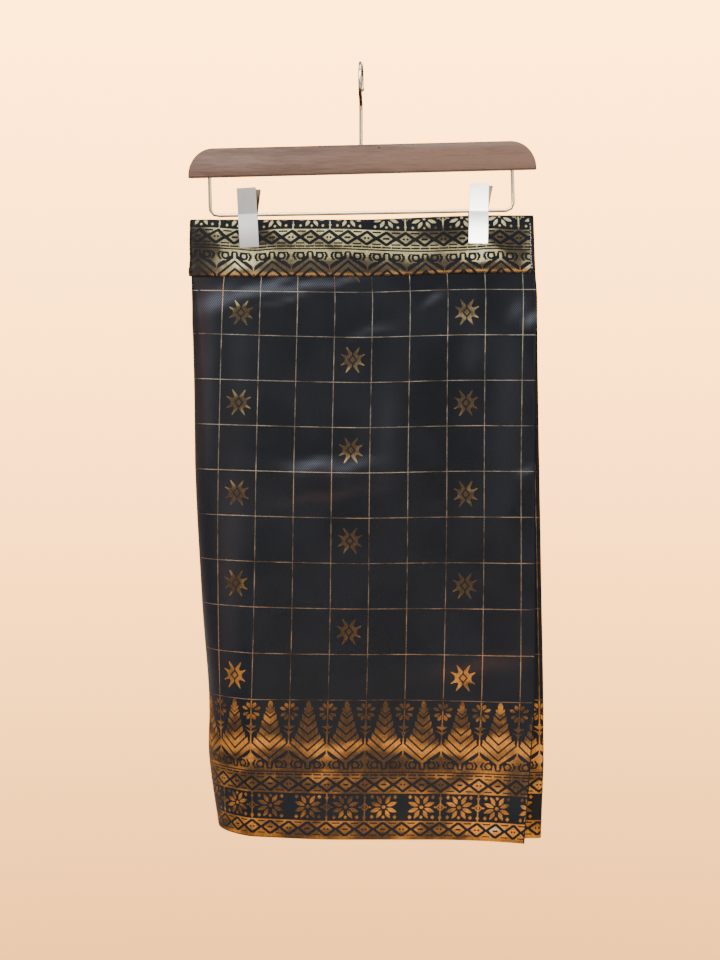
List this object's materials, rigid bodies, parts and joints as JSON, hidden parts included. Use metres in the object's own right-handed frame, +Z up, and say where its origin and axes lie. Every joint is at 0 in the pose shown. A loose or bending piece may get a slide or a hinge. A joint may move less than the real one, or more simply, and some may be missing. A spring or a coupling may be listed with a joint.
{
  "type": "sampin folded on a clip hanger",
  "caption": "Short songket wrap with a folded waistband, wound to the width of a wooden trouser hanger and gripped by its two spring clips.",
  "frame": {"origin": "the saddle of the hook, at the inner top of its ring, where it rests on a rail", "axes": "+Z up, +X along the hanger's bar to the front end of the cloth, -Y the front of the cloth"},
  "size_m": [0.3863, 0.1087, 0.8451],
  "materials": {
    "songket": "charcoal twill with gold thread checks and a gold border",
    "waistband": "gold thread border weave",
    "wood": "satin grey-brown walnut",
    "pale_gold": "bright pale gold plate",
    "satin_steel": "satin nickel"
  },
  "bodies": {
    "root": {"body_front": "songket", "body_back": "songket", "body_inner": "songket", "waistband_front": "waistband", "waistband_back": "waistband", "hanger_bar": "wood", "hanger_hook": "pale_gold", "clip_rail": "pale_gold", "clip_left_front_plate": "satin_steel", "clip_left_back_plate": "satin_steel", "clip_left_spring": "satin_steel", "clip_right_front_plate": "satin_steel", "clip_right_back_plate": "satin_steel", "clip_right_spring": "satin_steel"}
  },
  "joints": []
}
